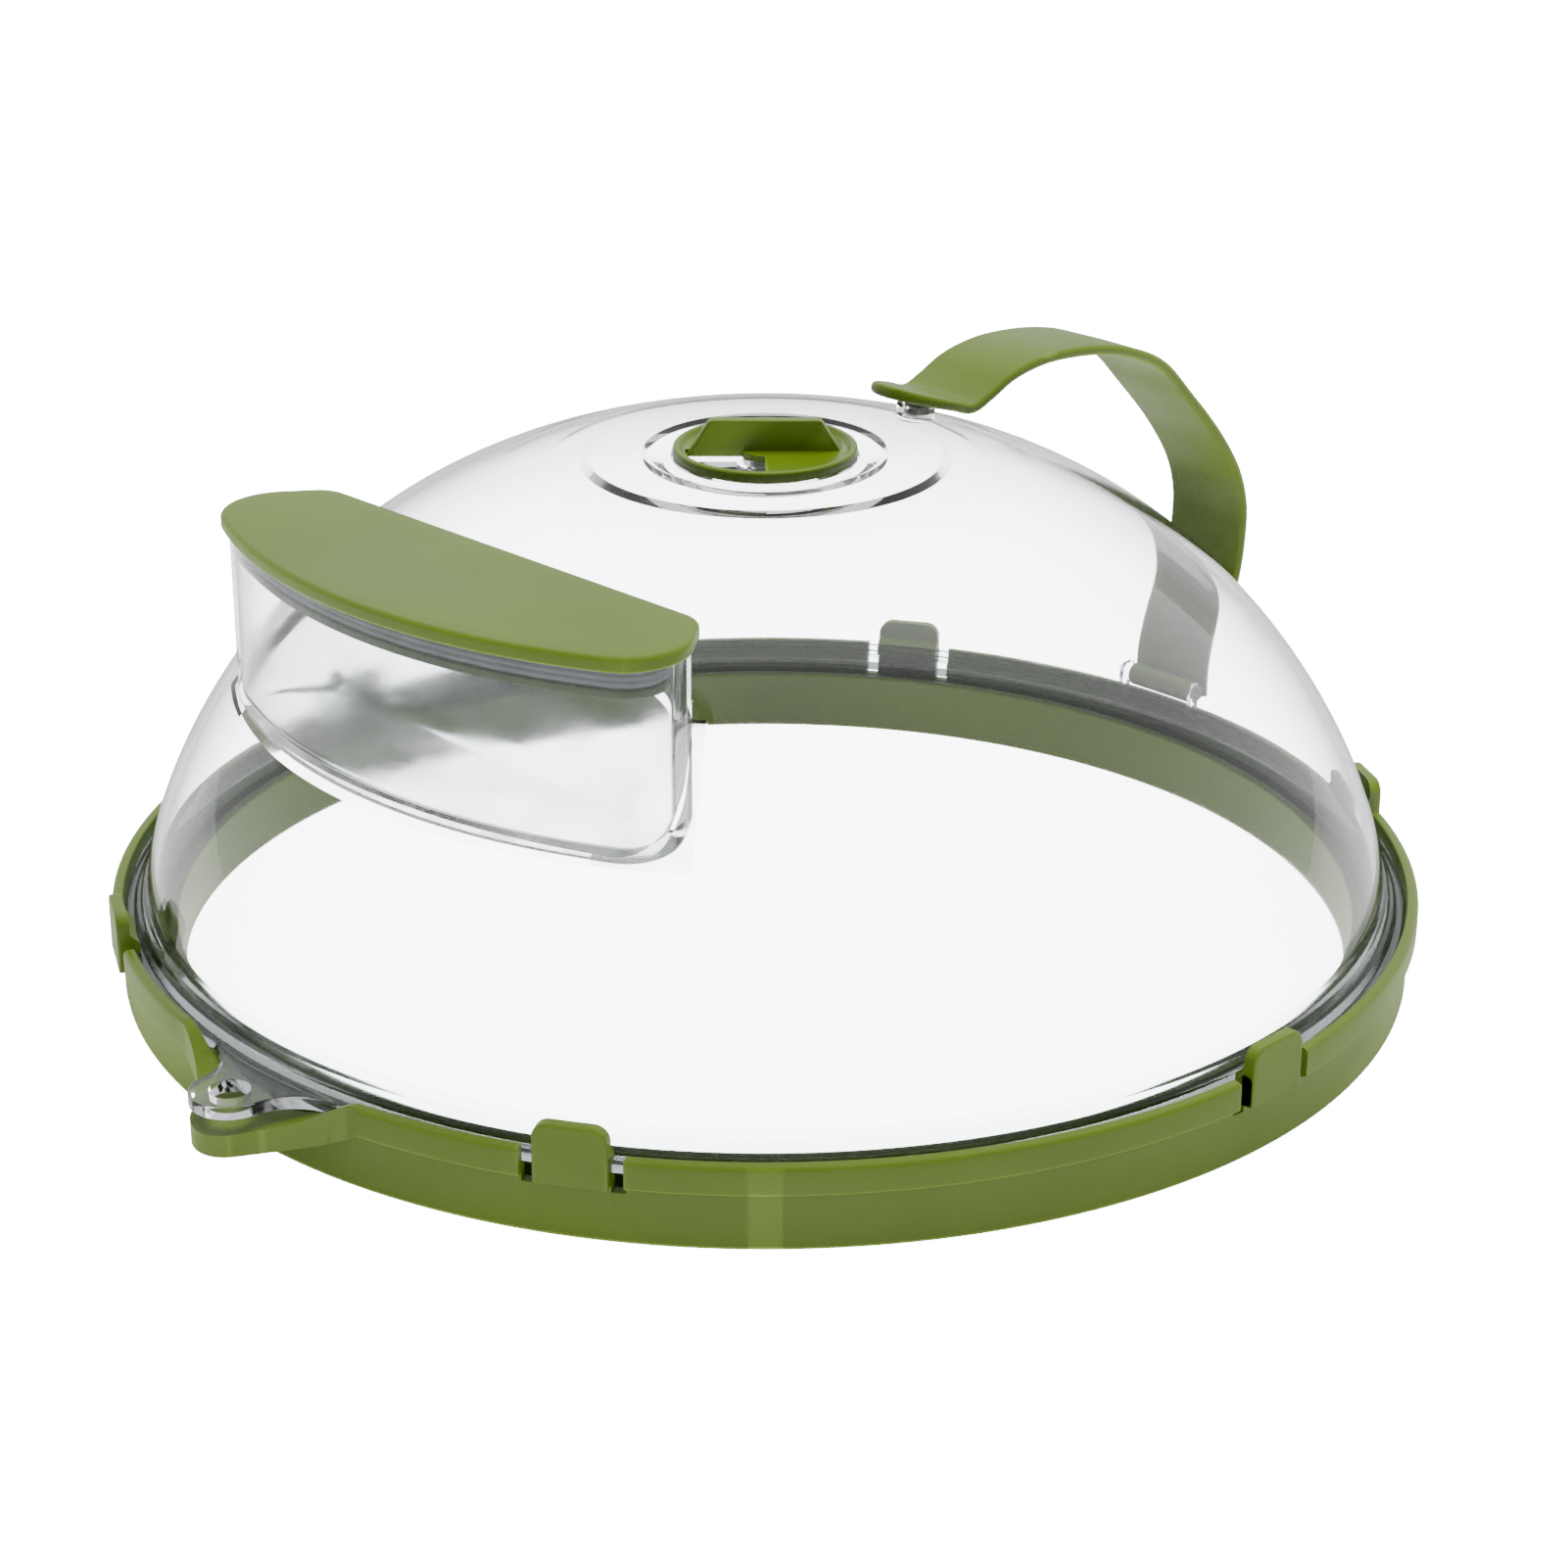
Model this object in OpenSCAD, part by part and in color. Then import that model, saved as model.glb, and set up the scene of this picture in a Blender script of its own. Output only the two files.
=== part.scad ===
// Microwave splatter cover with a water tank, a turning steam vent and a strap handle.
// Z is up and z = 0 is the plane that the base ring stands on. The tank and the hang tab are at
// -Y, and the handle is at +Y.

/* [Base ring] */
// Outer radius of the rim band
ring_r = 132.5; // [120:0.5:160]
// Outer radius of the lower band
ring_low_r = 130.9; // [118:0.1:158]
// Height of the rim
ring_h = 17.7; // [14:0.1:24]
// Height where the rim band starts
band_z = 11.6; // [8:0.1:14]
// Radius of the opening that goes over a plate
plate_r = 119.5; // [105:0.5:145]
// Height of the inner skirt
skirt_h = 13; // [8:0.5:16]
// Wall thickness of the ring
ring_wall = 2.2; // [1.5:0.1:3]
// Height of the shelf that the flange rests on
shelf_z = 13.6; // [12:0.1:15]

/* [Snap clips] */
// Number of clips round the ring
clip_n = 6; // [4:2:8]
// Width of a clip
clip_w = 14; // [10:0.5:20]
// Height of the top of a clip
clip_top = 23.5; // [20:0.1:28]
// Width of the slot on each side of a clip
slot_w = 2.7; // [1.5:0.1:4]
// Depth of the slots below the rim
slot_h = 7.3; // [4:0.1:10]
// Reach of the hook over the flange
hook_reach = 1.6; // [1:0.1:3]

/* [Dome] */
// Radius of the dome wall at its foot
dome_r = 125.2; // [110:0.1:150]
// Height where the dome wall starts
dome_z = 20.5; // [18:0.1:24]
// Rise of the dome curve
dome_rise = 87; // [70:1:110]
// Wall thickness of the clear plastic
wall = 2; // [1.5:0.1:3]
// Outer radius of the flange
flange_r = 129.9; // [118:0.1:155]
// Thickness of the flange
flange_t = 1.8; // [1.5:0.1:3]

/* [Hang tab] */
// Distance of the hang hole from the axis
hole_y = 138.1; // [130:0.1:160]
// Radius of the hang hole
hole_r = 3.9; // [3:0.1:6]
// Radius of the round end of the tab
tab_r = 7.7; // [6:0.1:12]
// Thickness of the tab
tab_t = 2.6; // [1.5:0.1:4]
// Radius of the lobe of the ring below the tab
lobe_r = 8.2; // [6:0.1:12]
// Distance of the lobe from the axis
lobe_y = 137.5; // [130:0.1:158]
// Half of the width of the lobe's underside
lobe_half = 28; // [20:1:36]
// Half of the width over which the rim dips above the lobe
dip_half = 23; // [22:0.5:28]
// Height of the rim at the end of the lobe
lip_top = 9.2; // [7:0.1:14]
// Height of the lip round the lobe
lip_h = 4.4; // [4:0.1:8]

/* [Vent] */
// Radius of the vent knob
knob_r = 18.1; // [14:0.1:26]
// Height of the knob's rim
knob_top = 106.5; // [104:0.1:110]
// Thickness of the grip fin
fin_t = 2.4; // [2:0.1:5]
// Height of the fin's top
fin_top = 111.6; // [108:0.1:118]
// Angle of the fin from +X
fin_turn = 45; // [0:5:90]
// Outer radius of the steam openings
vent_r = 15.4; // [10:0.1:20]

/* [Water tank] */
// Depth coordinate of the lid's rear edge
lid_back = -67; // [-80:0.5:-50]
// Half of the lid's width along its rear edge
lid_back_w = 51.3; // [40:0.1:60]
// How far each side leans out for 1 mm towards the front
side_lean = 0.75; // [0:0.01:1]
// Radius of the lid's curved front
front_r = 115.9; // [100:0.1:140]
// Depth coordinate of the centre of the curved front
front_y = 10.4; // [0:0.1:30]
// Height of the lid's top
lid_top = 101.3; // [95:0.1:108]
// Thickness of the lid's plate
lid_t = 3; // [2:0.1:4]
// Height of the underside of the tank
tank_z = 60.4; // [50:0.1:70]
// Wall thickness of the tank
tank_wall = 2.5; // [1.5:0.1:4]
// Corner radius of the lid at the rear
corner_back = 7; // [2:0.1:10]
// Corner radius of the lid at the front
corner_front = 12; // [5:0.1:16]
// Height of the seal band
seal_h = 4.4; // [2:0.1:5]

/* [Handle] */
// Width of the strap
strap_w = 20.6; // [16:0.1:28]
// Thickness of the strap
strap_t = 2.5; // [2:0.1:4]
// Distance of the foot bar from the axis
bar_y = 128.3; // [120:0.1:140]
// Height of the foot bar
bar_z = 22.3; // [19:0.1:26]
// Distance of the latch stud from the axis
stud_y = 44; // [40:0.1:50]
// Radius of the latch stud
stud_r = 2.9; // [2:0.1:5]

/* [Hidden] */
$fn = 96;

green = [0.48, 0.57, 0.18];
clear = [0.85, 0.88, 0.92, 0.35];
grey = [0.62, 0.66, 0.66];

run = 0.05;             // radial clearance of a running fit
gap = 0.3;              // clearance between neighbours on different bodies
seat_r = flange_r + gap;        // inside radius of the rim band
flange_top = shelf_z + flange_t;
tab_z = flange_top - 0.2 - tab_t;
cap_r = 36.5;           // edge of the raised step round the vent
cap_z = 103.6;
recess_r = 24;
recess_z = 105.3;       // edge of the vent recess
moat_z = 104.7;         // level of the recess round the knob
well_z = 102.9;         // floor that the knob turns on
well_r = knob_r + 0.35;
hub_r = 4.4;
stem_r = 2.95;
knob_floor = 105.5;
bar_r = 1.3;
eye_r = 2.6;
eye_w = 17;
function dip_r(half) = (pow(half, 2) + pow(ring_h - lip_top, 2)) / (2 * (ring_h - lip_top));
lid_under = lid_top - lid_t;
socket_top = 105.2;     // upper edge of the clear socket that holds the latch stud
tank_in = 1.5;          // how far the tank's walls stand in from the lid's edge
plug_in = tank_in + tank_wall + 0.2;    // how far the seal and the plug stand in from it
plug_core = plug_in + 1.6;      // how far the core inside the seal stands in
plug_low = lid_under - seal_h - 1.9;    // underside of the plug
hook_low = flange_top + 0.2;    // underside of the clips' hooks
hook_high = hook_low + 1.9;     // where the hooks start to lean back

// Superellipse that the dome wall follows, from its foot (t = 0) upwards.
function dome_curve(t, in = 0) =
    [(dome_r - in) * pow(cos(t), 0.778), dome_z + (dome_rise - in) * pow(sin(t), 1.418)];
function curve_range(in) = concat([for (t = [0 : 3 : 72]) dome_curve(t, in)], [[43, 102.9 - in]]);

// Angle from -Y where a fillet of radius f between circles R (at the axis) and r (at distance d)
// has its centre.
function fillet_angle(R, r, d, f) =
    acos((pow(R + f, 2) + d * d - pow(r + f, 2)) / (2 * d * (R + f)));

// Disc that swells into a round tab at -Y, with hollow fillets on both sides.
module tabbed_disc(R, r, d, f, h) {
    a = fillet_angle(R, r, d, f);
    c = (R + f) * [sin(a), -cos(a)];
    cylinder(r = R, h = h, $fn = 240);
    translate([0, -d, 0]) cylinder(r = r, h = h);
    difference() {
        linear_extrude(h) polygon([[0, -R / 2], [-c[0], c[1]], [0, -d], c]);
        for (s = [-1, 1]) translate([s * c[0], c[1], -1]) cylinder(r = f, h = h + 2);
    }
}

// ---------------------------------------------------------------- base ring

module ring_profile() {
    polygon([
        [plate_r, 0], [ring_low_r - 1, 0], [ring_low_r, 1], [ring_low_r, band_z],
        [ring_r, band_z + 0.4], [ring_r, ring_h - 1.2], [ring_r - 0.5, ring_h - 0.3],
        [ring_r - 1.2, ring_h], [seat_r, ring_h], [seat_r, shelf_z],
        [ring_low_r - ring_wall, shelf_z], [ring_low_r - ring_wall, ring_wall],
        [plate_r + ring_wall, ring_wall], [plate_r + ring_wall, skirt_h], [plate_r, skirt_h]]);
}

// Snap clip on +X, from the rim band up to the hook that holds the flange down.
module clip() {
    corner = 3;
    difference() {
        translate([seat_r - hook_reach - 1, -clip_w / 2, band_z])
            cube([ring_r - seat_r + hook_reach + 1.4, clip_w, clip_top - band_z]);
        for (s = [-1, 1]) translate([ring_r - 10, s * clip_w / 2, clip_top]) mirror([0, (s + 1) / 2, 0])
            difference() {
                translate([0, -1, -corner]) cube([20, corner + 1, corner + 1]);
                translate([0, corner, -corner]) rotate([0, 90, 0]) cylinder(r = corner, h = 20);
            }
        // seat of the flange, the hook's underside and the face that leans back over the dome's foot
        rotate_extrude($fn = 240) polygon([[0, 0], [seat_r, 0], [seat_r, hook_low],
            [seat_r - hook_reach, hook_low], [seat_r - hook_reach, hook_high],
            [seat_r + 0.3, hook_high + 2], [seat_r + 0.3, clip_top + 1], [0, clip_top + 1]]);
    }
}

// Plan of the ring with its lobe, standing in from the rim by `in`.
module lobed(in, h) tabbed_disc(ring_r - in, lobe_r - in, lobe_y, 33 + in, h);

// Space above the curve, 2 * half wide, that dips to height z under the hang tab.
module above_dip(z, half, in = 0) translate([0, -plate_r - ring_wall, z + dip_r(half)])
    rotate([90, 0, 0]) cylinder(r = dip_r(half) - in, h = 60, $fn = 240);

module base_ring() color(green) {
    difference() {
        union() {
            rotate_extrude($fn = 240) ring_profile();
            // the rim's band swells out into a lobe
            intersection() {
                lobed(0.1, ring_h - 0.4);
                above_dip(lip_top - lip_h, lobe_half);
                translate([0.6 - lobe_half, -200, 1]) cube([2 * lobe_half - 1.2, 70.8, ring_h]);
            }
        }
        // pocket inside the lobe, open to the channel
        intersection() {
            lobed(2, ring_h + 1);
            above_dip(lip_top - lip_h, lobe_half, 2);
            translate([3 - lobe_half, -200, 0]) cube([2 * lobe_half - 6, 90, 40]);
        }
        above_dip(lip_top, dip_half);
        for (i = [0 : clip_n - 1], s = [-1, 1]) rotate(i * 360 / clip_n)
            translate([ring_r - 6, s * (clip_w + slot_w) / 2 - slot_w / 2, ring_h - slot_h])
                cube([10, slot_w, 20]);
    }
    for (i = [0 : clip_n - 1]) rotate(i * 360 / clip_n) clip();
}

// ---------------------------------------------------------------- clear mouldings

module dome_profile() {
    outer = curve_range(0);
    inner = curve_range(wall);
    polygon(concat(
        [[dome_r - wall - 0.2, shelf_z], [flange_r, shelf_z], [flange_r, flange_top - 0.4],
            [flange_r - 0.4, flange_top], [128.2, flange_top], [127.8, 16.8], [127, 17.2],
            [126.6, 18.6], [125.6, 19.2]],
        outer,
        [[cap_r, cap_z], [cap_r - 2.4, cap_z + 1], [recess_r, recess_z], [recess_r - 0.4, moat_z],
            [well_r, moat_z], [well_r, well_z], [0, well_z], [0, well_z - wall],
            [well_r + 1.5, well_z - wall], [recess_r, moat_z - wall], [cap_r, cap_z - wall]],
        back_to_front(inner)));
}

// Quarter ring sector centred on +X.
module steam_opening(r0, r1, h) {
    difference() {
        intersection() {
            cylinder(r = r1, h = h);
            rotate(45) translate([0, -2 * r1, 0]) cube([2 * r1, 2 * r1, h]);
            rotate(-45) translate([0, 0, 0]) cube([2 * r1, 2 * r1, h]);
        }
        translate([0, 0, -1]) cylinder(r = r0, h = h + 2);
    }
}

// Right rear corner of the plan of the tank's lid, standing in from the lid's edge by `in`.
function back_corner(in) = [lid_back_w - in * norm([1, side_lean]) + side_lean * in, lid_back - in];
// Where its slanted side meets its curved front.
function front_corner(in) = let (
        p = back_corner(in) - [0, front_y], k = side_lean,
        a = 1 + k * k, b = k * p[0] - p[1], c = p * p - pow(front_r - in, 2),
        s = (-b + sqrt(b * b - a * c)) / a)
    back_corner(in) + s * [k, -1];
function arc(c, r, a0, a1, n) =
    [for (i = [0 : n]) let (a = a0 + (a1 - a0) * i / n) c + r * [cos(a), sin(a)]];

// Right half of the plan with rounded corners, from the middle of the front to the rear edge.
function half_plan(in) = let (
        rb = max(corner_back - in, 1), rf = max(corner_front - in, 1), f = front_corner(in + rf),
        turn = atan2(f[1] - front_y, f[0]), side = atan(side_lean))
    concat(arc([0, front_y], front_r - in, -90, turn, 16), arc(f, rf, turn, side, 6),
        arc(back_corner(in + rb), rb, side, 90, 6));

module tank_plan(in) {
    half = half_plan(in);
    polygon(concat(half, [for (i = [len(half) - 1 : -1 : 1]) [-half[i][0], half[i][1]]]));
}

module tank_outline(in, z0, z1) translate([0, 0, z0]) linear_extrude(z1 - z0) tank_plan(in);

module dome_shell() color(clear) {
    difference() {
        union() {
            rotate_extrude($fn = 240) dome_profile();
            translate([0, 0, tab_z]) intersection() {
                tabbed_disc(flange_r, tab_r, hole_y, 10.7, tab_t);
                translate([-16.5, -200, 0]) cube([33, 200 - flange_r + 3.5, tab_t]);
            }
            latch_socket();
        }
        translate([0, -hole_y, 0]) cylinder(r = hole_r, h = 30);
        for (a = [-90, 90]) rotate(a) translate([0, 0, well_z - wall - 1])
            steam_opening(hub_r + 1.2, vent_r, wall + 2);
        translate([0, 0, well_z - wall - 1]) cylinder(r = stem_r + run, h = 10);
        tank_outline(tank_in, tank_z + tank_wall + 1.5, lid_top);
    }
    difference() {
        translate([0, 0, well_z - 0.5]) cylinder(r = hub_r, h = 1.9);
        translate([0, 0, well_z - 1]) cylinder(r = stem_r + run, h = 10);
    }
}

// Socket for the handle's stud, open towards +Y so that the stud can swing out.
module latch_socket() difference() {
    translate([0, stud_y, socket_top - 4.2]) cylinder(r = stud_r + 1.6, h = 4.2);
    translate([0, stud_y, 0]) cylinder(r = stud_r + 0.4, h = 200);
    translate([-10, stud_y, 0]) cube([20, 20, 200]);
    rotate_extrude($fn = 240)
        polygon(concat(curve_range(wall / 2), [[cap_r, cap_z - 1], [0, 100], [0, 0], [dome_r, 0]]));
}

module water_tank() color(clear) difference() {
    tank_outline(tank_in, tank_z, lid_under);
    tank_outline(tank_in + tank_wall, tank_z + tank_wall, lid_top);
}

module handle_bracket() color(clear) {
    for (s = [-1, 1]) translate([s * (eye_w / 2 + 1.5) - 0.75, 0, 0]) rotate([90, 0, 90])
        linear_extrude(1.5) polygon([[bar_y - 3.1, flange_top], [bar_y - 0.9, flange_top],
            [bar_y - 0.9, bar_z - 1.6], [bar_y + bar_r, bar_z - 0.6], [bar_y + bar_r, bar_z + 1.6],
            [bar_y + 0.6, bar_z + 2.6], [bar_y - 2, bar_z + 2.6], [bar_y - 3.1, bar_z + 1.6]]);
    translate([-eye_w / 2 - 1.5, bar_y, bar_z]) rotate([0, 90, 0]) cylinder(r = bar_r, h = eye_w + 3);
}

// ---------------------------------------------------------------- tank lid

module tank_lid() color(green) {
    tank_outline(0, lid_under + 0.5, lid_top - 0.6);
    tank_outline(0.6, lid_under, lid_top);
    tank_outline(plug_core, plug_low, lid_under);
    tank_outline(plug_in, plug_low, lid_under - seal_h - 0.2);
}

module tank_lid_seal() color(grey) difference() {
    tank_outline(plug_in - 0.1, lid_under - seal_h, lid_under - 0.2);
    tank_outline(plug_core, plug_low, lid_under + 1);
}

// ---------------------------------------------------------------- vent knob

module vent_knob() color(green) {
    z0 = well_z + gap;
    under = knob_floor - 1.2;
    half = knob_r - 3.4;
    difference() {
        union() {
            rotate_extrude() polygon([[knob_r - 1.5, z0], [knob_r, z0], [knob_r, knob_top - 0.8],
                [knob_r - 0.3, knob_top - 0.2], [knob_r - 0.9, knob_top], [knob_r - 1.5, knob_top - 0.4],
                [knob_r - 2.1, knob_floor], [0, knob_floor], [0, under], [knob_r - 1.5, under]]);
            rotate([90, 0, fin_turn]) translate([0, 0, -fin_t / 2]) linear_extrude(fin_t)
                polygon([[-half - 1, under], [half + 1, under], [half, knob_floor],
                    [10.9, fin_top], [-10.9, fin_top], [-half, knob_floor]]);
        }
        for (a = [-90, 90]) rotate(a) difference() {
            translate([0, 0, under - 1]) steam_opening(hub_r + 0.2, knob_r - 2.4, 3);
            rotate(fin_turn - a) cube([60, fin_t, 300], center = true);
        }
    }
    translate([0, 0, well_z - wall - 0.4]) cylinder(r = stem_r, h = knob_floor - well_z + wall);
    translate([0, 0, well_z - wall - 1.9]) cylinder(r1 = stem_r - 0.5, r2 = stem_r + 0.9, h = 1.5);
}

// ---------------------------------------------------------------- handle

// Centre line of the strap from its free end to its foot, in the YZ plane.
strap_path = [[34.7, 109.5], [44, 106.7], [49.8, 104.9], [55, 106.4], [62, 109.2], [71, 110.5],
    [80, 110.2], [90, 108.8], [99.4, 106.2], [110, 101.2], [119.2, 92.6], [129.2, 82.3], [136.6, 72.6],
    [140, 64.6], [140.6, 57.2], [139, 46], [134.2, 35.5], [131.9, 28], [131.5, 21]];

function spline(p, i, t) = let (
        a = p[max(i - 1, 0)], b = p[i], c = p[i + 1], d = p[min(i + 2, len(p) - 1)])
    0.5 * (2 * b + (c - a) * t + (2 * a - 5 * b + 4 * c - d) * t * t
        + (3 * b - a - 3 * c + d) * t * t * t);
function smooth(p, n) = concat(
    [for (i = [0 : len(p) - 2], k = [0 : n - 1]) spline(p, i, k / n)], [p[len(p) - 1]]);
function side_of(p, i, o) = let (
        d = p[min(i + 1, len(p) - 1)] - p[max(i - 1, 0)])
    p[i] + o * [d[1], -d[0]] / norm(d);

function strap_edge(o) = let (line = smooth(strap_path, 4))
    [for (i = [0 : len(line) - 1]) side_of(line, i, o)];
function back_to_front(p) = [for (i = [len(p) - 1 : -1 : 0]) p[i]];

module strap_side()
    polygon(concat(strap_edge(strap_t / 2), back_to_front(strap_edge(-strap_t / 2))));

module handle_strap() color(green) {
    tip_r = strap_w / 2;
    tip_y = strap_path[0][0] + tip_r;
    intersection() {
        rotate([90, 0, 90]) linear_extrude(strap_w + 2, center = true) strap_side();
        union() {
            translate([0, tip_y, 0]) cylinder(r = tip_r, h = 200);
            translate([-tip_r, tip_y, 0]) cube([strap_w, 200, 200]);
        }
    }
    // eye round the foot bar
    difference() {
        union() {
            translate([-eye_w / 2, bar_y, bar_z]) rotate([0, 90, 0]) cylinder(r = eye_r, h = eye_w);
            translate([-eye_w / 2, bar_y, bar_z - 1.3]) cube([eye_w, 131.5 - bar_y, 2.6]);
        }
        translate([-10, bar_y, bar_z]) rotate([0, 90, 0]) cylinder(r = bar_r + run, h = 20);
    }
}

module handle_stud() color(green * 0.8) difference() {
    translate([0, stud_y, socket_top - 1.8]) cylinder(r = stud_r, h = 6);
    rotate([90, 0, 90]) linear_extrude(40, center = true)
        polygon(concat(strap_edge(strap_t / 2), [[200, 0], [200, 200], [0, 200]]));
}

base_ring();
dome_shell();
water_tank();
handle_bracket();
tank_lid();
tank_lid_seal();
vent_knob();
handle_strap();
handle_stud();
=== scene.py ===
"""Looks of the microwave splatter cover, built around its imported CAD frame.

Lengths are in millimetres until solid() makes them metres. Outlines of turned pieces are pairs of
radius and height. The tank's plan and everything that follows it are given by how far they stand
in from the edge of its lid.
"""
import math

import bmesh
import bpy
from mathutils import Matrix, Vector


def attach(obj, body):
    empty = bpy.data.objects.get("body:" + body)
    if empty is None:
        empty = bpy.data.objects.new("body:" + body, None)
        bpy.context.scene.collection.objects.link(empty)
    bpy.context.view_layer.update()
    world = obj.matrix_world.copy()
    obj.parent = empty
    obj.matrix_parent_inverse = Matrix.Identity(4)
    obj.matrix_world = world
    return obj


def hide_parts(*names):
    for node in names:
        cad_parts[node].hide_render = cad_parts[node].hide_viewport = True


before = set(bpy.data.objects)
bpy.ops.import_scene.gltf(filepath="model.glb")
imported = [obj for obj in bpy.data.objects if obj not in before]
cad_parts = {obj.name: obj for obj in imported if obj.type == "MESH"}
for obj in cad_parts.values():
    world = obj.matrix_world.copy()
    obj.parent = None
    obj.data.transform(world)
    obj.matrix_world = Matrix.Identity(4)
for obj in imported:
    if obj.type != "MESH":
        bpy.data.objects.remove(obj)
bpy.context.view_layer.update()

# base ring
ring_r, ring_low_r, ring_h, band_z = 132.5, 130.9, 17.7, 11.6
plate_r, skirt_h, ring_wall, shelf_z = 119.5, 13, 2.2, 13.6
flange_r, flange_top = 129.9, 15.4
seat_r = 130.2
clip_n, clip_w, clip_top, slot_w, slot_h, hook_reach = 6, 14, 23.5, 2.7, 7.3, 1.6
lobe_r, lobe_y, lobe_half, dip_half, lip_top, lip_h = 8.2, 137.5, 28, 23, 9.2, 4.4
# dome
dome_r, dome_z, dome_rise, wall = 125.2, 20.5, 87, 2
cap_r, cap_z, recess_r, recess_z, moat_z = 36.5, 103.6, 24, 105.3, 104.7
well_r, well_z, hub_r = 18.45, 102.9, 4.4
hole_y, hole_r, tab_r, tab_z, tab_top = 138.1, 3.9, 7.7, 12.6, 15.2
# vent knob
knob_r, knob_top, knob_floor, fin_t, fin_top = 18.1, 106.5, 105.5, 2.4, 111.6
vent_r, stem_r = 15.4, 2.95
# water tank and its lid
lid_back, lid_back_w, side_lean, front_r, front_y = -67, 51.3, 0.75, 115.9, 10.4
lid_top, lid_under, tank_z, tank_wall, tank_in = 101.3, 98.3, 60.4, 2.5, 1.5
corner_back, corner_front, seal_h = 7, 12, 4.4
plug_in = tank_in + tank_wall + 0.2
# handle
strap_w, strap_t, bar_y, bar_z, bar_r, eye_r, eye_w = 20.6, 2.5, 128.3, 22.3, 1.3, 2.6, 17
stud_y, stud_r, socket_top = 44, 2.9, 105.2
strap_path = [
    (34.7, 109.5), (44, 106.7), (49.8, 104.9), (55, 106.4), (62, 109.2), (71, 110.5), (80, 110.2),
    (90, 108.8), (99.4, 106.2), (110, 101.2), (119.2, 92.6), (129.2, 82.3), (136.6, 72.6), (140, 64.6),
    (140.6, 57.2), (139, 46), (134.2, 35.5), (131.9, 28), (131.5, 21)]

# ------------------------------------------------------------------ outlines


def rounded(points, radii, closed=True, steps=4):
    """The outline with its corners rounded; a radius of 0 keeps a corner as it is."""
    out, n = [], len(points)
    for i, (p, r) in enumerate(zip(points, radii)):
        if r == 0 or (not closed and i in (0, n - 1)):
            out.append(tuple(p))
            continue
        p = Vector(p)
        a, b = Vector(points[i - 1]) - p, Vector(points[(i + 1) % n]) - p
        half = a.angle(b) / 2
        reach = min(r / math.tan(half), 0.48 * a.length, 0.48 * b.length)
        a.normalize()
        b.normalize()
        centre = p + (a + b).normalized() * reach / math.cos(half)
        turn = math.pi - 2 * half
        u, v = p + a * reach - centre, p + b * reach - centre
        for k in range(steps + 1):
            t = k / steps
            here = u * math.sin((1 - t) * turn) + v * math.sin(t * turn)
            out.append(tuple(centre + here / math.sin(turn)))
    return out


def arc(centre, r, start, end, n):
    """n + 1 points on a circle, with the angles in degrees."""
    turns = [math.radians(start + (end - start) * k / n) for k in range(n + 1)]
    return [(centre[0] + r * math.cos(a), centre[1] + r * math.sin(a)) for a in turns]


def mirrored(half):
    """A whole plan from its right half, which starts on the middle line."""
    return half + [(-x, y) for x, y in reversed(half[1:])]


def spline(points, n):
    """Catmull-Rom curve through the points, with n steps between each two."""
    out = []
    for i in range(len(points) - 1):
        a, b = Vector(points[max(i - 1, 0)]), Vector(points[i])
        c, d = Vector(points[i + 1]), Vector(points[min(i + 2, len(points) - 1)])
        for k in range(n):
            t = k / n
            out.append((2 * b + (c - a) * t + (2 * a - 5 * b + 4 * c - d) * t ** 2
                        + (3 * b - a - 3 * c + d) * t ** 3) / 2)
    return out + [Vector(points[-1])]


def dome_curve(t, depth=0):
    """Point of the dome's wall, t degrees up from its foot."""
    t = math.radians(t)
    return ((dome_r - depth) * math.cos(t) ** 0.778, dome_z + (dome_rise - depth) * math.sin(t) ** 1.418)


def tab_plan(disc, r, y, fillet, half, back):
    """Plan of a round tab at -Y that grows out of a disc through hollow fillets."""
    far = disc + fillet
    a = math.acos((far ** 2 + y ** 2 - (r + fillet) ** 2) / (2 * y * far))
    c = Vector((far * math.sin(a), -far * math.cos(a)))
    tip = Vector((0, -y))
    u, v = -c.normalized(), (tip - c).normalized()
    turn = u.angle(v)
    hollow = [c + fillet * (u * math.sin((1 - k / 16) * turn) + v * math.sin(k / 16 * turn)) / math.sin(turn)
              for k in range(17)]
    end = math.degrees(math.atan2(-v.y, -v.x))
    rim = arc((0, 0), disc, math.degrees(math.acos(half / disc)) * -1, math.degrees(a) - 90, 6)
    right = arc(tip, r, -90, end, 18) + [tuple(p) for p in reversed(hollow[:-1])] + list(reversed(rim[:-1]))
    return mirrored(right + [(half, -back)])


def back_corner(depth):
    return Vector((lid_back_w - depth * math.hypot(1, side_lean) + side_lean * depth, lid_back - depth))


def front_corner(depth):
    """Where the slanted side of the tank's plan meets its curved front."""
    p = back_corner(depth) - Vector((0, front_y))
    a, b, c = 1 + side_lean ** 2, side_lean * p.x - p.y, p.dot(p) - (front_r - depth) ** 2
    return back_corner(depth) + (math.sqrt(b * b - a * c) - b) / a * Vector((side_lean, -1))


def tank_ring(depth, z):
    rear, fore = max(corner_back - depth, 1), max(corner_front - depth, 1)
    f = front_corner(depth + fore)
    turn, side = math.degrees(math.atan2(f.y - front_y, f.x)), math.degrees(math.atan(side_lean))
    right = (arc((0, front_y), front_r - depth, -90, turn, 36) + arc(f, fore, turn, side, 14)
             + arc(back_corner(depth + rear), rear, side, 90, 12))
    return [(x, y, z) for x, y in mirrored(right)]


# ------------------------------------------------------------------ solids


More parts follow.
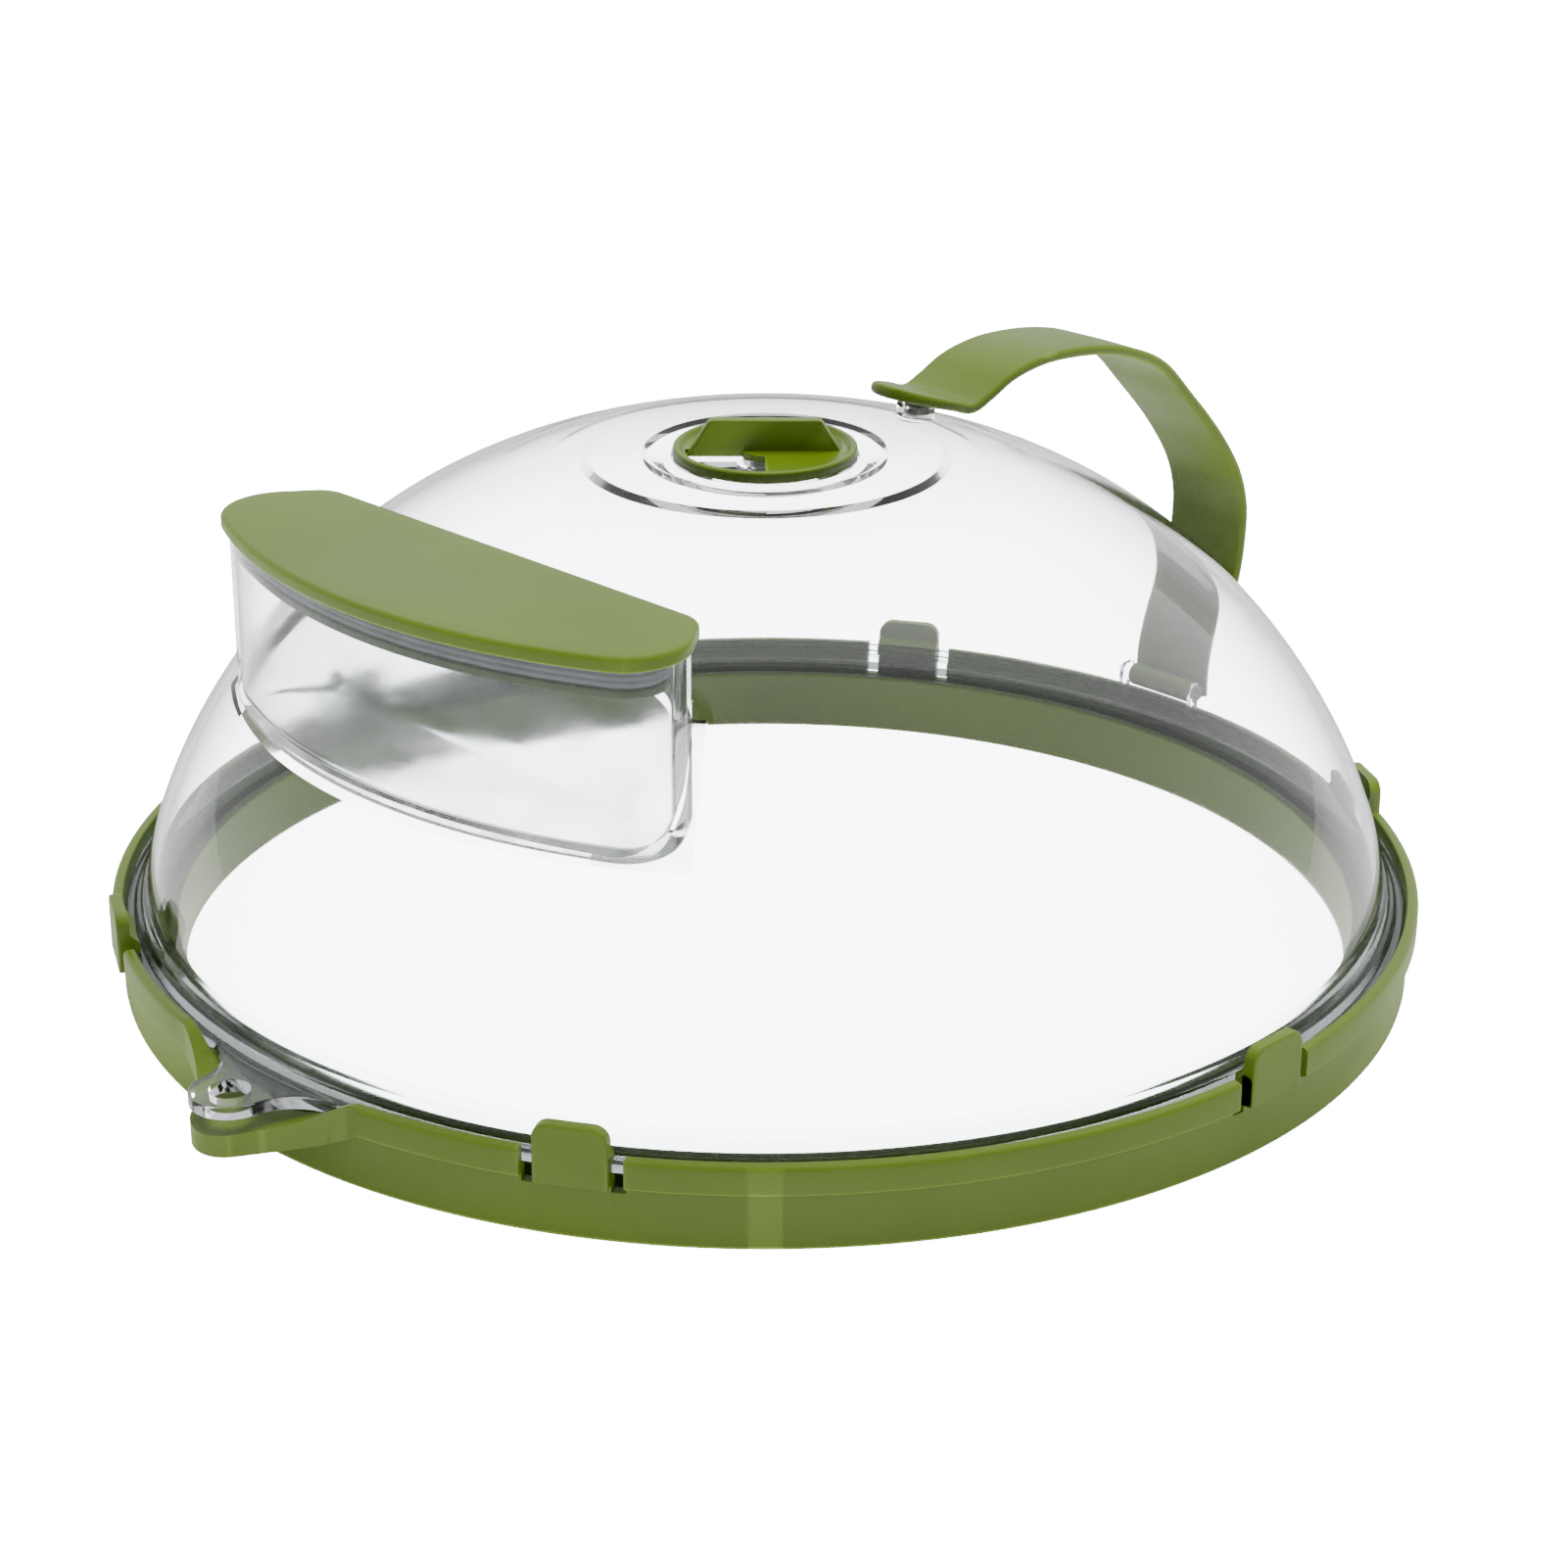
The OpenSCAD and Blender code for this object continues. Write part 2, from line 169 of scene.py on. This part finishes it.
def solid(name, points, faces):
    mesh = bpy.data.meshes.new(name)
    mesh.from_pydata([tuple(c * 0.001 for c in p) for p in points], [], faces)
    bm = bmesh.new()
    bm.from_mesh(mesh)
    bmesh.ops.remove_doubles(bm, verts=bm.verts, dist=1e-7)
    bmesh.ops.recalc_face_normals(bm, faces=bm.faces)
    bm.to_mesh(mesh)
    bm.free()
    obj = bpy.data.objects.new(name, mesh)
    bpy.context.scene.collection.objects.link(obj)
    return obj


def loft(name, rings, loop=False):
    """Skin over rings with the same number of points, closed at both ends or joined into a loop."""
    n, m = len(rings[0]), len(rings)
    faces = [(i * n + k, i * n + (k + 1) % n, (i + 1) % m * n + (k + 1) % n, (i + 1) % m * n + k)
             for i in range(m if loop else m - 1) for k in range(n)]
    if not loop:
        faces += [tuple(range(n)), tuple(range((m - 1) * n, m * n))]
    return solid(name, [p for ring in rings for p in ring], faces)


def lathe(name, outline, centre=(0, 0), steps=180):
    """Solid of revolution about the upright line through centre."""
    turns = [2 * math.pi * k / steps for k in range(steps)]
    return loft(name, [[(centre[0] + r * math.cos(a), centre[1] + r * math.sin(a), z) for r, z in outline]
                       for a in turns], loop=True)


def prism(name, plan, z0, z1):
    return loft(name, [[(x, y, z) for x, y in plan] for z in (z0, z1)])


def across(name, outline, x0, x1):
    """Solid with the same outline in the YZ plane from x0 to x1, with its end edges eased."""
    mid = sum((Vector(p) for p in outline), Vector((0, 0))) / len(outline)
    rings = []
    for x, s in ((x0, 0.92), (x0 + 0.2, 1), (x1 - 0.2, 1), (x1, 0.92)):
        rings.append([(x, *(mid + (Vector(p) - mid) * s)) for p in outline])
    return loft(name, rings)


def combine(obj, other, how):
    """Exact Boolean, applied at once; other is used up."""
    step = obj.modifiers.new("combine", "BOOLEAN")
    step.object, step.operation, step.solver = other, how, "EXACT"
    mesh = bpy.data.meshes.new_from_object(obj.evaluated_get(bpy.context.evaluated_depsgraph_get()))
    obj.modifiers.clear()
    obj.data = mesh
    bpy.data.objects.remove(other)
    return obj


def add(obj, *others):
    for other in others:
        combine(obj, other, "UNION")
    return obj


def cut(obj, *others):
    for other in others:
        combine(obj, other, "DIFFERENCE")
    return obj


def together(*objs):
    """One object from several that don't touch."""
    bm = bmesh.new()
    for obj in objs:
        bm.from_mesh(obj.data)
    bm.to_mesh(objs[0].data)
    bm.free()
    for obj in objs[1:]:
        bpy.data.objects.remove(obj)
    return objs[0]


def turned(obj, degrees):
    """The object's mesh turned about the Z axis."""
    c, s = math.cos(math.radians(degrees)), math.sin(math.radians(degrees))
    for v in obj.data.vertices:
        x, y, z = v.co
        v.co = (c * x - s * y, s * x + c * y, z)
    return obj


def dress(obj, body, nodes, slot, *materials):
    """Smooth shading up to 30 degrees, materials, and the piece's place in the frame."""
    bm = bmesh.new()
    bm.from_mesh(obj.data)
    bmesh.ops.dissolve_degenerate(bm, dist=1e-7, edges=bm.edges)
    for f in bm.faces:
        f.smooth = True
    for e in bm.edges:
        e.smooth = len(e.link_faces) == 2 and e.calc_face_angle(0) < math.radians(30)
    bm.to_mesh(obj.data)
    bm.free()
    obj.data.materials.clear()
    for m in materials:
        obj.data.materials.append(m)
    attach(obj, body)
    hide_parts(*nodes)
    return obj


# ------------------------------------------------------------------ materials


class Surface:
    """A Principled material with helpers for noise-driven inputs."""

    def __init__(self, name):
        self.mat = bpy.data.materials.new(name)
        self.mat.use_nodes = True
        self.tree = self.mat.node_tree
        self.shader = self.tree.nodes["Principled BSDF"]

    def node(self, kind, **values):
        n = self.tree.nodes.new(kind)
        for key, value in values.items():
            n.inputs[key.replace("_", " ")].default_value = value
        return n

    def link(self, source, target):
        self.tree.links.new(source, target)

    def noise(self, scale, detail=3.0, stretch=(1, 1, 1)):
        coord, place = self.node("ShaderNodeTexCoord"), self.node("ShaderNodeMapping", Scale=stretch)
        n = self.node("ShaderNodeTexNoise", Scale=scale, Detail=detail)
        self.link(coord.outputs["Object"], place.inputs["Vector"])
        self.link(place.outputs["Vector"], n.inputs["Vector"])
        return n.outputs["Fac"]

    def spread(self, source, low, high, start=0.35, end=0.65):
        n = self.node("ShaderNodeMapRange", From_Min=start, From_Max=end, To_Min=low, To_Max=high)
        self.link(source, n.inputs["Value"])
        return n.outputs["Result"]

    def mix(self, fac, a, b):
        n = self.tree.nodes.new("ShaderNodeMix")
        n.data_type = "RGBA"
        self.link(fac, n.inputs[0])
        for socket, value in ((n.inputs[6], a), (n.inputs[7], b)):
            if isinstance(value, tuple):
                socket.default_value = (*value, 1)
            else:
                self.link(value, socket)
        return n.outputs[2]

    def bump(self, *layers):
        """Layers of (height, strength, distance in metres), one on the other."""
        normal = None
        for height, strength, distance in layers:
            n = self.node("ShaderNodeBump", Strength=strength, Distance=distance)
            self.link(height, n.inputs["Height"])
            if normal:
                self.link(normal, n.inputs["Normal"])
            normal = n.outputs["Normal"]
        self.link(normal, self.shader.inputs["Normal"])


def moulded(name, dark, light, edge_highlight, rough):
    """Opaque moulded plastic: cloudy pigment, flow marks, a fine satin grain, and sharp edges painted paler
    as a highlight.
    """
    s = Surface(name)
    cloud, flow, grain = s.noise(22), s.noise(14, 2, (1, 1, 5)), s.noise(1500, 2)
    colour = s.mix(s.spread(cloud, 0, 1), dark, light)
    # painted highlight: where the surface is pointy, at sharp edges, the colour is mixed towards the third,
    # paler colour
    edge = s.spread(s.node("ShaderNodeNewGeometry").outputs["Pointiness"], 0, 0.5, 0.52, 0.6)
    s.link(s.mix(edge, colour, edge_highlight), s.shader.inputs["Base Color"])
    s.link(s.spread(flow, rough - 0.05, rough + 0.07), s.shader.inputs["Roughness"])
    s.bump((grain, 0.12, 0.00004), (flow, 0.08, 0.0002))
    s.shader.inputs["IOR"].default_value = 1.5
    return s.mat


def clear(name, tint, clouded, rough, haze_scale, ripple, bend):
    """Clear moulded plastic with a patchy haze and a faint ripple.

    The body of the plastic bends light only a little, so thin walls don't trap it, and the gloss
    of the real surface is in the coat.
    """
    s = Surface(name)
    haze, wave = s.noise(haze_scale, 6), s.noise(9, 2)
    s.link(s.mix(s.spread(haze, 0, 1, 0.45, 0.7), tint, clouded), s.shader.inputs["Base Color"])
    s.link(s.spread(haze, rough[0], rough[1], 0.4, 0.7), s.shader.inputs["Roughness"])
    s.bump((wave, ripple, 0.0008))
    s.shader.inputs["Transmission Weight"].default_value = 1
    s.shader.inputs["IOR"].default_value = bend
    s.shader.inputs["Coat Weight"].default_value = 0.7
    s.shader.inputs["Coat IOR"].default_value = 1.49
    s.shader.inputs["Coat Roughness"].default_value = 0.03
    return s.mat


def silicone(name):
    s = Surface(name)
    cloud, grain = s.noise(60), s.noise(1200, 2)
    colour = s.mix(s.spread(cloud, 0, 1), (0.66, 0.72, 0.74), (0.74, 0.80, 0.82))
    s.link(colour, s.shader.inputs["Base Color"])
    s.link(s.spread(grain, 0.42, 0.55), s.shader.inputs["Roughness"])
    s.bump((grain, 0.1, 0.00005))
    s.shader.inputs["Subsurface Weight"].default_value = 0.3
    s.shader.inputs["Subsurface Radius"].default_value = (0.001, 0.001, 0.001)
    return s.mat


# The third colour of each green is the painted edge highlight.
green = moulded("green_moulded", (0.080, 0.136, 0.002), (0.094, 0.158, 0.003), (0.19, 0.28, 0.04), 0.36)
# painted shade: the stud sits under the strap's end and gets a darker copy of the strap's green
stud_shaded_green = moulded("green_stud_shaded", (0.045, 0.075, 0.004), (0.055, 0.09, 0.006), (0.12, 0.17, 0.03), 0.4)
clear_wall = clear("clear_moulded", (0.94, 0.94, 0.962), (0.925, 0.927, 0.946), (0.01, 0.04), 30, 0.05, 1.2)
clear_tank = clear("clear_hazy", (0.80, 0.805, 0.83), (0.56, 0.60, 0.58), (0.06, 0.24), 60, 0.03, 1.09)
# painted shade: the shell's foot and flange get a darker, greyer copy of the clear plastic, standing in for
# the shaded green channel seen through them; it is also rougher
clear_foot_shaded = clear("clear_foot_shaded", (0.74, 0.78, 0.79), (0.66, 0.71, 0.72), (0.10, 0.20), 30, 0.05, 1.2)
grey_seal = silicone("grey_silicone")

# ------------------------------------------------------------------ base ring


def ring_plan(depth):
    return tab_plan(ring_r - depth, lobe_r - depth, lobe_y, 33 + depth, 27.4, 129.2)


def dip_radius(half_width):
    return (half_width ** 2 + (ring_h - lip_top) ** 2) / (2 * (ring_h - lip_top))


def above(name, line):
    """Space above a curve of points in the XZ plane, near the hang tab."""
    line = line + [(line[-1][0], 40), (line[0][0], 40)]
    return loft(name, [[(x, y, z) for x, z in line] for y in (-121.7, -181.7)])


def under_dip(name, depth=0):
    """Space above the curve of the lobe's underside."""
    r = dip_radius(lobe_half)
    return above(name, arc((0, lip_top - lip_h + r), r - depth, -135, -45, 64))


def rim_dip(ease=2.4):
    """Space above the rim where it sags under the hang tab, with its shoulders eased."""
    r, line = dip_radius(dip_half), []
    for k in range(-48, 49):
        x = 1.1 * dip_half * k / 48
        z = lip_top + r - math.sqrt(r * r - x * x)
        line.append((x, min(z, ring_h) - max(ease - abs(z - ring_h), 0) ** 2 / ease / 4))
    return above("rim_dip", line)


def block(name, lo, hi):
    return prism(name, [(lo[0], lo[1]), (hi[0], lo[1]), (hi[0], hi[1]), (lo[0], hi[1])], lo[2], hi[2])


ring = lathe("rim_ring", rounded(
    [(plate_r, 0), (ring_low_r, 0), (ring_low_r, band_z), (ring_r, band_z + 0.4), (ring_r, ring_h),
     (seat_r, ring_h), (seat_r, shelf_z), (ring_low_r - ring_wall, shelf_z),
     (ring_low_r - ring_wall, ring_wall), (plate_r + ring_wall, ring_wall), (plate_r + ring_wall, skirt_h),
     (plate_r, skirt_h)],
    [0.6, 1.2, 0.3, 0.5, 1.1, 0.3, 0.2, 0.3, 0.5, 0.5, 0.6, 0.6]), steps=240)
lobe = prism("lobe", ring_plan(0.1), 1, ring_h - 0.4)
combine(lobe, under_dip("lobe_under"), "INTERSECT")
pocket = prism("pocket", ring_plan(2), 0.5, ring_h + 1)
combine(pocket, under_dip("pocket_under", 2), "INTERSECT")
add(ring, lobe)
cut(ring, pocket, rim_dip())
slots = []
for i in range(clip_n):
    for side in (-1, 1):
        y = side * (clip_w + slot_w) / 2
        slots.append(turned(block("slot", (ring_r - 6, y - slot_w / 2, ring_h - slot_h),
                                  (ring_r + 4, y + slot_w / 2, ring_h + 10)), i * 360 / clip_n))
cut(ring, together(*slots))


def clip_ring(depth, x):
    """Upright outline of a clip with round upper corners."""
    w = clip_w / 2 - depth
    corners = [(-w, band_z), (w, band_z), (w, clip_top - depth), (-w, clip_top - depth)]
    return [(x, y, z) for y, z in rounded(corners, [0, 0, 3 - depth, 3 - depth], steps=8)]


clip_edge = rounded([(0, seat_r - hook_reach - 1), (0, ring_r + 0.4), (1, ring_r + 0.4)],
                    [0, 0.7, 0], closed=False)
clips = together(*[turned(loft("clip", [clip_ring(d, x) for d, x in clip_edge]), i * 360 / clip_n)
                   for i in range(clip_n)])
hook_low = flange_top + 0.2
cut(clips, lathe("seat", [
    (0, 0), (seat_r, 0), (seat_r, hook_low), (seat_r - hook_reach, hook_low),
    (seat_r - hook_reach, hook_low + 1.9), (seat_r + 0.3, hook_low + 3.9), (seat_r + 0.3, 30), (0, 30)],
    steps=240))
add(ring, clips)
dress(ring, "cover", ["base_ring"], "green_plastic", green)

# ------------------------------------------------------------------ clear shell

outer = [dome_curve(t) for t in [0.3, 1, 2] + list(range(4, 73, 2))]
inner = [dome_curve(t, wall) for t in [0, 1, 2] + list(range(4, 73, 2))]
foot = [(dome_r - wall - 0.2, shelf_z), (flange_r, shelf_z), (flange_r, flange_top), (128.1, flange_top),
        (127.5, 17), (126.7, 17.5), (126.1, 18.9), (125.4, 19.4)]
crown = [(43, 102.9), (cap_r, cap_z), (cap_r - 1.8, cap_z + 1),
         (recess_r, recess_z), (recess_r - 1.4, moat_z), (well_r, moat_z),
         (well_r, well_z), (0, well_z), (0, well_z - wall), (well_r + 1.5, well_z - wall),
         (recess_r, moat_z - wall), (cap_r, cap_z - wall), (43, 102.9 - wall)]
shell = lathe("clear_shell", rounded(
    foot + outer + crown + inner[::-1],
    [0.2, 0.5, 0.5, 0.3, 0.4, 0.4, 0.4, 0.3] + [0] * len(outer)
    + [3, 0.7, 0.8, 0.8, 0.6, 0.3, 0.3, 0, 0, 1, 1, 1.5, 3] + [0] * len(inner)))


def tank_block(name, depth, z0, z1, ease):
    chain = rounded([(depth + 9, z0), (depth, z0), (depth, z1)], [0, ease, 0], closed=False, steps=8)
    return loft(name, [tank_ring(d, z) for d, z in chain])


tab_edge = rounded([(0.8, tab_z), (0, tab_z), (0, tab_top), (0.8, tab_top)], [0, 0.5, 0.5, 0], closed=False)
tab = loft("tab", [[(x, y, z) for x, y in tab_plan(flange_r - d, tab_r - d, hole_y, 10.7 + d, 18, 126.4)]
                   for d, z in tab_edge])
cheek = [(bar_y - 3.1, flange_top - 0.5), (bar_y - 0.9, flange_top - 0.5), (bar_y - 0.9, bar_z - 1.6),
         (bar_y + bar_r, bar_z - 0.6), (bar_y + bar_r, bar_z + 1.6), (bar_y + 0.6, bar_z + 2.6),
         (bar_y - 2, bar_z + 2.6), (bar_y - 3.1, bar_z + 1.6)]
cheek = rounded(cheek, [0, 0, 0.3, 0.5, 0.6, 0.6, 0.6, 0.6])
cheek_x = eye_w / 2 + 0.75
socket_plan = arc((0, stud_y), stud_r + 1.6, -180, 0, 32) + arc((0, stud_y), stud_r + 0.4, 0, -180, 32)
socket = prism("socket", socket_plan, socket_top - 4.2, socket_top)
hub = lathe("hub", rounded([(0, well_z - 1), (hub_r, well_z - 1), (hub_r, well_z + 1.4), (0, well_z + 1.4)],
                           [0, 0, 0.4, 0]), steps=64)
add(shell, tank_block("tank", tank_in, tank_z, lid_under - 0.15, 4.5), tab, hub, socket,
    across("cheek", cheek, cheek_x, cheek_x + 1.5), across("cheek", cheek, -cheek_x - 1.5, -cheek_x),
    across("bar", arc((bar_y, bar_z), bar_r, 0, 345, 23), -cheek_x - 0.5, cheek_x + 0.5))


def sector(name, r0, r1, middle, z0, z1):
    """Quarter of a ring, for a steam opening."""
    plan = arc((0, 0), r1, middle - 45, middle + 45, 32) + arc((0, 0), r0, middle + 45, middle - 45, 16)
    return prism(name, plan, z0, z1)


cut(shell, tank_block("room", tank_in + tank_wall, tank_z + tank_wall, 120, 3),
    *[sector("opening", hub_r + 1.2, vent_r, a, well_z - 4, well_z + 1) for a in (-90, 90)],
    lathe("hole", rounded([(0, 10), (hole_r, 10), (hole_r, 20), (0, 20)], [0] * 4), (0, -hole_y), 64),
    lathe("bore", [(0, 95), (stem_r + 0.05, 95), (stem_r + 0.05, 110), (0, 110)], steps=48))
dress(shell, "cover", ["dome_shell", "water_tank", "handle_bracket"], "clear_plastic",
      clear_wall, clear_tank, clear_foot_shaded)
foot_top = 19.5
for face in shell.data.polygons:
    x, y, z = (c * 1000 for c in face.center)
    inside = math.hypot(x, y - front_y) < front_r - tank_in + 0.1
    if inside and z > tank_z - 0.2 and y < lid_back - tank_in + 0.2 and \
            abs(x) < lid_back_w + side_lean * (lid_back - y) + 0.5:
        face.material_index = 1
    # faces of the foot and flange take the darker clear plastic with its painted shade
    elif z < foot_top and dome_r - wall - 0.3 < math.hypot(x, y) < flange_r + 0.02:
        face.material_index = 2

# ------------------------------------------------------------------ tank lid and seal

low = lid_under - seal_h - 1.9
lid_edge = rounded(
    [(plug_in + 3, low), (plug_in, low), (plug_in, low + 1.7), (plug_in + 1.6, low + 1.7),
     (plug_in + 1.6, lid_under), (0, lid_under), (0, lid_top), (4, lid_top)],
    [0, 0.4, 0.3, 0.1, 0.2, 0.7, 1, 0], closed=False, steps=6)
lid = loft("lid_cap", [tank_ring(d, z) for d, z in lid_edge])
dress(lid, "lid", ["tank_lid"], "green_plastic", green)

seal_low, seal_top = lid_under - seal_h, lid_under - 0.2
seal_edge = [(plug_in + 1.6, seal_top), (plug_in + 0.5, seal_top)]
for k in range(25):
    t = k / 24
    rib = 0.4 * abs(math.sin(3 * math.pi * t))
    seal_edge.append((plug_in + 0.3 - rib, seal_top - 0.2 - t * (seal_h - 0.6)))
seal_edge += [(plug_in + 0.5, seal_low), (plug_in + 1.6, seal_low)]
seal = loft("seal_band", [tank_ring(d, z) for d, z in seal_edge], loop=True)
dress(seal, "lid", ["tank_lid_seal"], "seal_silicone", grey_seal)

# ------------------------------------------------------------------ vent knob

under = knob_floor - 1.2
knob = lathe("vent_cap", rounded(
    [(knob_r - 1.5, well_z + 0.3), (knob_r, well_z + 0.3), (knob_r, knob_top), (knob_r - 1.2, knob_top),
     (knob_r - 2, knob_floor), (0, knob_floor), (0, under), (knob_r - 1.5, under)],
    [0.2, 0.3, 0.7, 0.45, 0.3, 0, 0, 0.2]), steps=120)
cut(knob, *[sector("window", hub_r + 0.2, knob_r - 2.4, a, under - 1, knob_floor + 1) for a in (-90, 90)])
half = knob_r - 3.4


def fin_ring(depth, side):
    corners = [(-half - 1, under + 0.05), (half + 1, under + 0.05), (half - depth, knob_floor),
               (10.9 - depth, fin_top - depth), (depth - 10.9, fin_top - depth), (depth - half, knob_floor)]
    plan = rounded(corners, [0, 0, 0.3, 1.2, 1.2, 0.3], steps=6)
    return [(u * math.cos(math.pi / 4) - side * math.sin(math.pi / 4),
             u * math.sin(math.pi / 4) + side * math.cos(math.pi / 4), z) for u, z in plan]


fin_edge = rounded([(0.5, -fin_t / 2), (0, -fin_t / 2), (0, fin_t / 2), (0.5, fin_t / 2)],
                   [0, 0.4, 0.4, 0], closed=False)
add(knob, loft("fin", [fin_ring(d, s) for d, s in fin_edge]),
    lathe("stem", rounded([(0, well_z - 3.9), (stem_r - 0.5, well_z - 3.9), (stem_r + 0.9, well_z - 2.4),
                           (stem_r, well_z - 2.3), (stem_r, knob_floor - 0.1), (0, knob_floor - 0.1)],
                          [0, 0.2, 0.2, 0, 0, 0]), steps=48))
dress(knob, "knob", ["vent_knob"], "green_plastic", green)

# ------------------------------------------------------------------ handle

line = spline(strap_path, 8)
run = [0.0]
for a, b in zip(line, line[1:]):
    run.append(run[-1] + (b - a).length)


def on_line(s):
    """Point and direction of the strap's centre line after a run of s."""
    k = max(i for i in range(len(run) - 1) if run[i] <= s + 1e-9)
    t = (s - run[k]) / (run[k + 1] - run[k])
    ahead, back = line[min(k + 2, len(line) - 1)] - line[k], line[k + 1] - line[max(k - 1, 0)]
    return line[k].lerp(line[k + 1], t), back.lerp(ahead, t).normalized()


def strap_ring(s, w, t):
    """Cross-section with round edges and a faint ridge along the middle of both faces."""
    (y, z), (dy, dz) = on_line(s)
    edge = min(1.1, w, t)
    face = rounded([(-w, 0.14 - t), (0, -t), (w, 0.14 - t), (w, t - 0.14), (0, t), (-w, t - 0.14)],
                   [edge, 1.5, edge, edge, 1.5, edge], steps=5)
    return [(u, y + n * dz, z - n * dy) for u, n in face]


tip = strap_w / 2
rings = []
for k in range(2, 31):
    a = math.radians(3 * k)
    thick = strap_t / 2 * min(1, 0.45 + 0.09 * k)
    rings.append(strap_ring(tip * (1 - math.cos(a)), tip * math.sin(a), thick))
count = 110
rings += [strap_ring(tip + (run[-1] - tip) * k / count, tip, strap_t / 2) for k in range(1, count + 1)]
strap = loft("strap", rings)
eye = across("eye", arc((bar_y, bar_z), eye_r, 0, 350, 35), -eye_w / 2, eye_w / 2)
web = across("web", [(bar_y, bar_z - 1.3), (131.5, bar_z - 1.3), (131.5, bar_z + 1.3), (bar_y, bar_z + 1.3)],
             -eye_w / 2, eye_w / 2)
add(strap, eye, web)
cut(strap, across("pin", arc((bar_y, bar_z), bar_r + 0.05, 0, 345, 23), -12, 12))
dress(strap, "handle", ["handle_strap"], "green_plastic", green)
stud_low, stud_top = socket_top - 1.8, 106.2
stud = lathe("latch_stud", rounded([(0, stud_low), (stud_r, stud_low), (stud_r, stud_top), (0, stud_top)],
                                   [0, 0.4, 0, 0]), (0, stud_y), 48)
# the stud's darker green is painted shade from the strap above it
dress(stud, "handle", ["handle_stud"], "green_plastic", stud_shaded_green)

# ------------------------------------------------------------------ stage

paper = Surface("floor_paper")
paper.link(paper.mix(paper.spread(paper.noise(3), 0, 1), (0.38, 0.38, 0.38), (0.42, 0.42, 0.42)),
           paper.shader.inputs["Base Color"])
paper.shader.inputs["Roughness"].default_value = 0.7
paper.shader.inputs["Emission Color"].default_value = (1, 1, 1, 1)
# The floor glows to the camera and through clear pieces, and less in reflections. No scattered ray sees
# the glow, but the renderer also samples it as a lamp, so it lights the object's sides from below.
ray = paper.node("ShaderNodeLightPath")
glow = paper.node("ShaderNodeMath")
glow.operation = "MULTIPLY"
bounced = paper.tree.nodes.new("ShaderNodeMix")
paper.link(paper.spread(ray.outputs["Is Camera Ray"], 10, 16, 0, 1), bounced.inputs[2])
paper.link(ray.outputs["Glossy Depth"], bounced.inputs[0])
paper.link(paper.spread(ray.outputs["Transmission Depth"], 0.2, 1.6, 0, 1), bounced.inputs[3])
paper.link(bounced.outputs[0], glow.inputs[0])
paper.link(paper.spread(ray.outputs["Diffuse Depth"], 1, 0, 0, 1), glow.inputs[1])
paper.link(glow.outputs[0], paper.shader.inputs["Emission Strength"])
reach = 4000
floor = solid("floor", [(-reach, -reach, 0), (reach, -reach, 0), (reach, reach, 0), (-reach, reach, 0)],
              [(0, 1, 2, 3)])
floor.data.materials.append(paper.mat)

world = bpy.data.worlds.new("studio")
bpy.context.scene.world = world
world.use_nodes = True
sky = world.node_tree
backdrop = sky.nodes["Background"]
backdrop.inputs["Color"].default_value = (0.97, 0.98, 1, 1)


def sky_node(kind, **values):
    n = sky.nodes.new(kind)
    for key, value in values.items():
        n.inputs[key.replace("_", " ")].default_value = value
    return n


# soft light from above; the gloss reflects a pale backdrop behind the object and dark surroundings
levels = sky_node("ShaderNodeMix")
sky.links.new(sky_node("ShaderNodeLightPath").outputs["Glossy Depth"], levels.inputs[0])
view = sky_node("ShaderNodeTexCoord").outputs["Generated"]
gradients = [((0, 0, 1), 0.3, 0.12, 1), ((-0.6, 0.6, 0.53), 0, 0.2, 1.1)]
for k, (toward, start, low, high) in enumerate(gradients):
    facing = sky_node("ShaderNodeVectorMath")
    facing.operation = "DOT_PRODUCT"
    facing.inputs[1].default_value = toward
    sky.links.new(view, facing.inputs[0])
    level = sky_node("ShaderNodeMapRange", From_Min=start, From_Max=0.9, To_Min=low, To_Max=high)
    sky.links.new(facing.outputs["Value"], level.inputs["Value"])
    sky.links.new(level.outputs["Result"], levels.inputs[2 + k])
sky.links.new(levels.outputs[0], backdrop.inputs["Strength"])


def soft_light(name, place, size, power):
    data = bpy.data.lights.new(name, "AREA")
    data.energy, data.size = power, size
    obj = bpy.data.objects.new(name, data)
    bpy.context.scene.collection.objects.link(obj)
    obj.location = place
    obj.visible_glossy = obj.visible_transmission = False
    obj.rotation_euler = (Vector((0, 0, 0.05)) - obj.location).to_track_quat("-Z", "Y").to_euler()


soft_light("key", (-0.1, 0.3, 1.5), 1.2, 38)

cam = bpy.data.objects.new("camera", bpy.data.cameras.new("camera"))
bpy.context.scene.collection.objects.link(cam)
cam.location = (0.51243, -0.51243, 0.33794)
cam.rotation_euler = (-cam.location).to_track_quat("-Z", "Y").to_euler()
cam.data.sensor_width = 36
cam.data.lens = 88.71
cam.data.shift_x = 0.0120
cam.data.shift_y = 0.0984
bpy.context.scene.camera = cam
